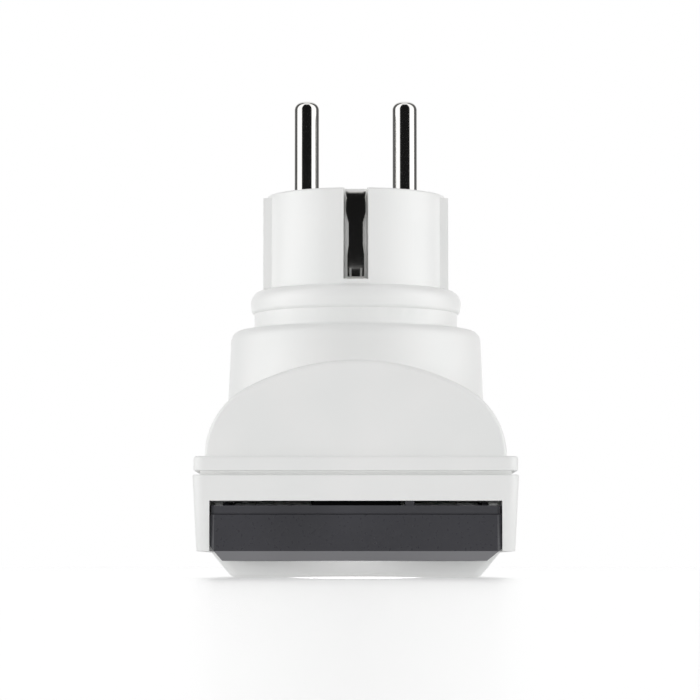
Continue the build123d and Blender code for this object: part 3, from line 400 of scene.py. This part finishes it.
# %% [markdown]
# ## Helpers for the pieces
#
# Each piece below is a bmesh that ends up as one mesh object at the origin, smooth-shaded up to
# an angle. Moulded corners are never sharp, so a small bevel on the hard edges catches a line of
# light, and it does more for the look than any texture. A modifier adds it, and its hardened
# normals keep the flat faces flat.

# %% Finishing a piece
EDGE_SEGMENTS = 2  # of every bevel
MERGE_MM = 0.002  # loose corners of a CAD mesh that lie nearer than this are one
LEVEL_DEGREES = 0.6  # triangles that bend less than this are one flat face


def finish_piece(bm, name, slot, body, replaced=(), bevel_mm=0.0, crease=32):
    """Turns a bmesh in millimetres into a piece that rides on a body."""
    bmesh.ops.remove_doubles(bm, verts=bm.verts, dist=MERGE_MM / 2)
    bmesh.ops.recalc_face_normals(bm, faces=bm.faces)
    bmesh.ops.scale(bm, vec=(MM, MM, MM), verts=bm.verts)
    mesh = bpy.data.meshes.new(name)
    bm.to_mesh(mesh)
    bm.free()
    piece = bpy.data.objects.new(name, mesh)
    bpy.context.scene.collection.objects.link(piece)
    mesh.materials.append(finishes[slot])
    for polygon in mesh.polygons:
        polygon.use_smooth = True
    mesh.set_sharp_from_angle(angle=radians(crease))
    if bevel_mm:
        bevel = piece.modifiers.new("moulded_edges", "BEVEL")
        bevel.width = bevel_mm * MM
        bevel.segments = EDGE_SEGMENTS
        bevel.limit_method = "ANGLE"
        bevel.angle_limit = radians(crease)
        bevel.miter_outer = "MITER_ARC"
        bevel.harden_normals = True
    if replaced:
        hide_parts(*replaced)
    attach(piece, body)
    print(f"{name}: {len(mesh.polygons)} faces")
    return piece


def copy_of_node(node_name):
    """A CAD node's shape as a bmesh in millimetres, with its loose triangles joined up."""
    bm = bmesh.new()
    bm.from_mesh(frame["nodes"][node_name].data)
    bmesh.ops.scale(bm, vec=(1 / MM, 1 / MM, 1 / MM), verts=bm.verts)
    bmesh.ops.remove_doubles(bm, verts=bm.verts, dist=MERGE_MM)
    bmesh.ops.dissolve_limit(bm, angle_limit=radians(LEVEL_DEGREES), verts=bm.verts,
                             edges=bm.edges)
    return bm


def lathe(outline, centre, steps=96):
    """Spins an outline of (radius, height) points round a vertical line through centre."""
    bm = bmesh.new()
    points = [bm.verts.new((radius, 0.0, height)) for radius, height in outline]
    edges = [bm.edges.new(pair) for pair in zip(points, points[1:])]
    bmesh.ops.spin(bm, geom=points + edges, cent=(0, 0, 0), axis=(0, 0, 1), angle=2 * pi,
                   steps=steps, use_merge=True)
    bmesh.ops.translate(bm, vec=centre, verts=bm.verts)
    return bm


def arc(centre, radius, start, end, steps):
    """Points of (radius, height) along a round corner, with the angles in degrees."""
    turns = [radians(start + (end - start) * step / steps) for step in range(steps + 1)]
    return [(centre[0] + radius * cos(turn), centre[1] + radius * sin(turn)) for turn in turns]


# %% [markdown]
# ## Pins
#
# A plug pin is turned from brass rod, rounded at its tip and nickel-plated. Its outline is a
# straight side and one round corner, spun about the pin's axis. The round corner needs many
# short steps, because polished metal shows every facet.

# %% Pins
PIN_RADIUS = 2.4  # the standard's size; inside the boss the CAD pin has a wider shoulder
PIN_SHANK = 2.2  # the radius inside the boss; the step at the plug's face keeps the shading even
PIN_SEAT = FACE_Z - 2.0  # the pin runs a little way into the boss
TIP_ROUND = 1.6  # the radius of the corner between the side and the tip
TIP_STEPS = 14
for node_name in ("line_pin", "neutral_pin"):
    low, high = box_mm(node_name)
    pin_centre = ((low.x + high.x) / 2, PLUG_Y, 0.0)
    side = [(0.0, PIN_SEAT), (PIN_SHANK, PIN_SEAT), (PIN_SHANK, FACE_Z), (PIN_RADIUS, FACE_Z)]
    corner = arc((PIN_RADIUS - TIP_ROUND, PIN_TOP - TIP_ROUND), TIP_ROUND, 0, 90, TIP_STEPS)
    outline = side + corner + [(0.0, PIN_TOP)]
    finish_piece(lathe(outline, pin_centre), f"{node_name}_turned", "nickel", "case",
                 [node_name], crease=40)

# %% [markdown]
# ## Shells and other mouldings
#
# The shells, the plug insert, the socket and a few smaller pieces already have their true shape
# in CAD, with dozens of ribs and holes that aren't worth building twice. What CAD leaves out is
# the small radius that every tool leaves on an edge. So each of them is a merged copy of its CAD
# mesh with a soft edge, and the copy replaces the node.

# %% Moulded copies
moulded = {  # node: (slot, body, edge radius in millimetres)
    "rear_shell": ("white_abs", "case", 0.22),
    "front_shell": ("white_abs", "case", 0.22),
    "plug_insert": ("plug_white", "case", 0.16),
    "socket_well": ("socket_white", "case", 0.15),
    "socket_floor": ("socket_white", "case", 0.10),
    "shutter_plate": ("shutter_white", "shutter", 0.10),
    "bezel_carrier": ("dark_carrier", "case", 0.22),
    "earth_clip_near": ("nickel", "case", 0.06),
    "earth_clip_far": ("nickel", "case", 0.06),
}
for node_name, (slot_name, body, edge) in moulded.items():
    finish_piece(copy_of_node(node_name), f"{node_name}_moulded", slot_name, body, [node_name],
                 bevel_mm=edge)

# %% [markdown]
# ## Earth strips
#
# A sprung strip lies in each side slot of the plug. It is stamped from sheet with a waist, two
# slits at its foot and a bulge that presses on the socket's contact. A grid is bent along that
# route row by row, its columns follow the stamped outline, and Solidify gives it the sheet's
# thickness.

# %% Earth strips
SHEET = 0.6  # the strip's thickness
STAMPED_EDGE = 0.07
SLIT_INSIDE, SLIT_OUTSIDE = 0.85, 1.15  # from the strip's middle line
SLIT_ROW = 4  # the row of faces that the slits are cut in
STRIP_COLUMNS = 5
strip_rows = [  # distance from the plug's axis, height, half width
    (14.75, 54.0, 1.6), (14.75, 55.6, 1.6),  # the foot
    (16.3, 56.15, 1.6), (16.4, 56.4, 1.6), (16.4, 56.5, 1.6),  # its bend outward
    (16.4, 58.0, 1.62), (16.4, 60.6, 1.62),  # the broad part
    (16.38, 62.4, 1.38), (16.3, 66.6, 1.38),  # the waist
    (16.15, 68.6, 1.9), (15.8, 70.6, 1.92), (14.9, 72.7, 1.92),  # the top, leaning back in
]
for node_name, facing in (("earth_spring_near", -1), ("earth_spring_far", 1)):
    strip = bmesh.new()
    bmesh.ops.create_grid(strip, x_segments=STRIP_COLUMNS, y_segments=len(strip_rows) - 1, size=1.0)
    strip.verts.ensure_lookup_table()
    for index, vert in enumerate(strip.verts):
        row, column = divmod(index, STRIP_COLUMNS + 1)
        distance, strip_z, half_width = strip_rows[row]
        across = (-half_width, -SLIT_OUTSIDE, -SLIT_INSIDE, SLIT_INSIDE, SLIT_OUTSIDE, half_width)
        vert.co = (across[column], PLUG_Y + facing * distance, strip_z)
    strip.faces.ensure_lookup_table()
    slits = [strip.faces[SLIT_ROW * STRIP_COLUMNS + column] for column in (1, 3)]
    bmesh.ops.delete(strip, geom=slits, context="FACES")
    piece = finish_piece(strip, f"{node_name}_stamped", "nickel", "case", [node_name], crease=30)
    sheet = piece.modifiers.new("sheet", "SOLIDIFY")
    sheet.thickness = SHEET * MM
    sheet.offset = 0.0
    stamped = piece.modifiers.new("stamped_edges", "BEVEL")
    stamped.width = STAMPED_EDGE * MM
    stamped.segments = EDGE_SEGMENTS
    stamped.limit_method = "ANGLE"
    stamped.angle_limit = radians(60)

# %% [markdown]
# ## Dark panel
#
# The bezel is one dark moulding, and its bevelled rim is polished in the tool, so it is glossier
# than the eroded face. The rim slopes down towards the bright table, and its lighter grey is a
# painted reflection of that table. The rim could be a second piece. It is really the same one, so
# its faces only get a second finish, and they are found by their slope.

# %% Bezel with a painted reflection on its rim
bezel = copy_of_node("display_bezel")
bezel_low, bezel_high = box_mm("display_bezel")
RIM_DEPTH = 1.7  # how far back the sloping rim reaches
STEEPEST, FLATTEST = -0.25, -0.95  # the Z part of a rim face's normal; the flat front has -1
rim_faces = [
    face for face in bezel.faces
    if FLATTEST < face.normal.z < STEEPEST
    and face.calc_center_median().z < bezel_low.z + RIM_DEPTH
]
for face in rim_faces:
    face.material_index = 1
bezel_piece = finish_piece(bezel, "display_bezel_moulded", "dark_bezel", "case",
                           ["display_bezel"], bevel_mm=0.22)
# The rim's light grey is a painted reflection of the table below it; its lower roughness is real
# gloss.
bezel_piece.data.materials.append(plastic("glossy_rim_abs_painted_reflection", "#7f7f82", "#78787b", 0.22))
print("rim faces:", len(rim_faces))

# %% [markdown]
# ## Display
#
# A segment display shows each digit with up to seven bars. They are dark crystal in the glass,
# so they are flat pieces just in front of it. The meter's front faces down here, so the digits
# are mirrored by laying their up direction along -Y.

# %% Digits
SEGMENTS = {  # the bars that each digit lights, from a at the top, clockwise, to g in the middle
    "0": "abcdef", "2": "abged", "3": "abgcd", "4": "fgbc", "5": "afgcd",
}
INK = 0.03  # how thick the lit crystal and the prints are drawn
DIGIT_WIDTH, DIGIT_STROKE, DIGIT_PITCH, POINT_SIZE = 0.5, 0.13, 0.82, 0.12  # parts of the height
BAR_TAPER = 0.48  # how much of its width a bar's pointed end takes
BAR_GAP = 0.25  # how much shorter than its place a bar is, in strokes


def bar(bm, x, y, z, length, width, turn=0.0):
    """A flat bar with pointed ends, centred on a point."""
    shape = (Matrix.Translation((x, y, z)) @ Matrix.Rotation(turn, 4, "Z")
             @ Matrix.Diagonal((length, width, INK, 1.0)))
    made = bmesh.ops.create_cube(bm, size=1.0, matrix=shape)["verts"]
    upright = [edge for edge in {e for vert in made for e in vert.link_edges}
               if abs((edge.verts[0].co - edge.verts[1].co).z) > INK / 2]
    bmesh.ops.bevel(bm, geom=upright, offset=width * BAR_TAPER, affect="EDGES", segments=1,
                    profile=0.5, material=-1)


def digit(bm, sign, x, y, z, height):
    """One digit, with its centre at a point and its top towards -Y."""
    width, stroke = height * DIGIT_WIDTH, height * DIGIT_STROKE
    half, quarter = height / 2, height / 4
    places = {"a": (0, -half, 0), "g": (0, 0, 0), "d": (0, half, 0),
              "f": (-width / 2, -quarter, 1), "b": (width / 2, -quarter, 1),
              "e": (-width / 2, quarter, 1), "c": (width / 2, quarter, 1)}
    for name in SEGMENTS[sign]:
        dx, dy, stands = places[name]
        length = (half if stands else width) - stroke * BAR_GAP
        bar(bm, x + dx, y + dy, z, length, stroke, pi / 2 * stands)


glass_low, glass_high = box_mm("lcd_glass")
glass_middle = (glass_low + glass_high) / 2
ink_z = glass_low.z - INK
display_rows = [("2304", -3.6, 8.4), ("500", 5.4, 5.0)]  # digits, place down the glass, height
lit = bmesh.new()
for row_text, row_y, row_height in display_rows:
    pitch = row_height * DIGIT_PITCH
    for place, sign in enumerate(row_text):
        digit_x = (place - (len(row_text) - 1) / 2) * pitch
        digit(lit, sign, glass_middle.x + digit_x, glass_middle.y + row_y, ink_z, row_height)
    point_x = (len(row_text) / 2 - 1) * pitch
    point = row_height * POINT_SIZE
    bar(lit, glass_middle.x + point_x, glass_middle.y + row_y + row_height / 2, ink_z, point, point)
finish_piece(lit, "display_digits", "zebra_grey", "case")

# %% [markdown]
# ## Prints
#
# The window has a dark printed border on its back that hides the edge of the glass. The keys
# have a plain mark each: a ring, a square, and two arrows. A print is only ink, but a thin solid
# keeps a crisp edge from any distance.

# %% Window border
BORDER_INSET = 0.4  # how far the print stays inside the window's edge
BORDER_WIDTH = 2.2


def thicken(bm):
    """Gives a flat print its thickness."""
    grown = bmesh.ops.extrude_face_region(bm, geom=bm.faces[:])["geom"]
    raised = [part for part in grown if isinstance(part, bmesh.types.BMVert)]
    bmesh.ops.translate(bm, vec=(0, 0, -INK), verts=raised)


def keep_outline(bm, width):
    """Cuts the middle out of a flat face, so that only an outline is left."""
    outline = bmesh.ops.inset_region(bm, faces=bm.faces[:], thickness=width,
                                     use_boundary=True)["faces"]
    inner = [face for face in bm.faces if face not in outline]
    bmesh.ops.delete(bm, geom=inner, context="FACES")


window_low, window_high = box_mm("display_window")
window_size = window_high - window_low
window_middle = (window_low + window_high) / 2
border = bmesh.new()
bmesh.ops.create_grid(border, x_segments=1, y_segments=1, size=0.5)
border_size = (window_size.x - 2 * BORDER_INSET, window_size.y - 2 * BORDER_INSET, 1.0)
bmesh.ops.scale(border, vec=border_size, verts=border.verts)
bmesh.ops.translate(border, vec=(window_middle.x, window_middle.y, window_high.z + INK),
                    verts=border.verts)
keep_outline(border, BORDER_WIDTH)
thicken(border)
finish_piece(border, "window_border_print", "dark_carrier", "case")

# %% Marks on the keys


def mark(bm, centre, sides, radius, turn, open_width=0.0):
    """A flat printed mark with a number of sides, filled or as an outline."""
    shape = Matrix.Translation(centre) @ Matrix.Rotation(turn, 4, "Z")
    bmesh.ops.create_circle(bm, cap_ends=True, segments=sides, radius=radius, matrix=shape)
    if open_width:
        keep_outline(bm, open_width)
    thicken(bm)


key_marks = {  # key: (sides, radius, turn, outline width)
    "mode": (32, 1.15, 0.0, 0.35),
    "set": (4, 1.35, pi / 4, 0.35),
    "up": (3, 1.35, pi, 0.0),
    "down": (3, 1.35, 0.0, 0.0),
}
for key_name, (sides, radius, turn, open_width) in key_marks.items():
    key_low, key_high = box_mm(f"{key_name}_keycap")
    printed = bmesh.new()
    middle = ((key_low.x + key_high.x) / 2, (key_low.y + key_high.y) / 2, key_low.z + INK / 2)
    mark(printed, middle, sides, radius, turn, open_width)
    finish_piece(printed, f"{key_name}_mark", "lcd_frame_white", f"{key_name}_key")

# %% [markdown]
# ## Floor
#
# The meter lies on a light table. Its own glow is what brightens the low plinth, deep under the
# dark panel, where no lamp reaches. So the floor is a plain plane that gives some light itself,
# and its glow is strongest right under the panel, where nobody sees it directly.

# %% The floor
FLOOR_HALF = 3.0  # half the floor's side, in metres
FLOOR_GLOW = 0.44
HIDDEN_GLOW = 3.9  # what it is raised to under the panel
GLOW_HALF_WIDTH, GLOW_HALF_LENGTH = 13.0, 22.0  # of the raised patch, in millimetres
GLOW_SHIFT = 5.0  # from the panel's middle towards the socket
floor_mesh = bmesh.new()
bmesh.ops.create_grid(floor_mesh, x_segments=2, y_segments=2, size=FLOOR_HALF)
floor_data = bpy.data.meshes.new("floor")
floor_mesh.to_mesh(floor_data)
floor_mesh.free()
floor = bpy.data.objects.new("floor", floor_data)
bpy.context.scene.collection.objects.link(floor)
floor_material, floor_tree, floor_place = new_material("white_table")
floor_noise = noise_at(floor_tree, floor_place, grain_mm=60.0)
floor_tone = blend_colours(floor_tree, floor_noise, "#7c7c7c", "#808080")
patch_middle = (0.0, (bezel_low.y + bezel_high.y) / 2 + GLOW_SHIFT, 0.0)
centred = add_node(floor_tree, "ShaderNodeMapping", {"vector_type": "TEXTURE"}, Vector=floor_place,
                   Location=Vector(patch_middle) * MM,
                   Scale=(GLOW_HALF_WIDTH * MM, GLOW_HALF_LENGTH * MM, 1.0))
from_middle = add_node(floor_tree, "ShaderNodeVectorMath", {"operation": "LENGTH"},
                       i0=centred.outputs[0]).outputs["Value"]
glow = add_node(floor_tree, "ShaderNodeMapRange", {"interpolation_type": "SMOOTHSTEP"},
                Value=from_middle, From_Min=0.5, From_Max=1.0, To_Min=HIDDEN_GLOW,
                To_Max=FLOOR_GLOW).outputs["Result"]
floor_shader = add_node(floor_tree, "ShaderNodeBsdfPrincipled", Base_Color=floor_tone,
                        Roughness=0.27, Specular_IOR_Level=0.9,
                        Emission_Color=(1.0, 1.0, 1.0, 1.0), Emission_Strength=glow)
output(floor_tree, floor_shader)
floor.data.materials.append(floor_material)
print("floor nodes:", len(floor_tree.nodes))
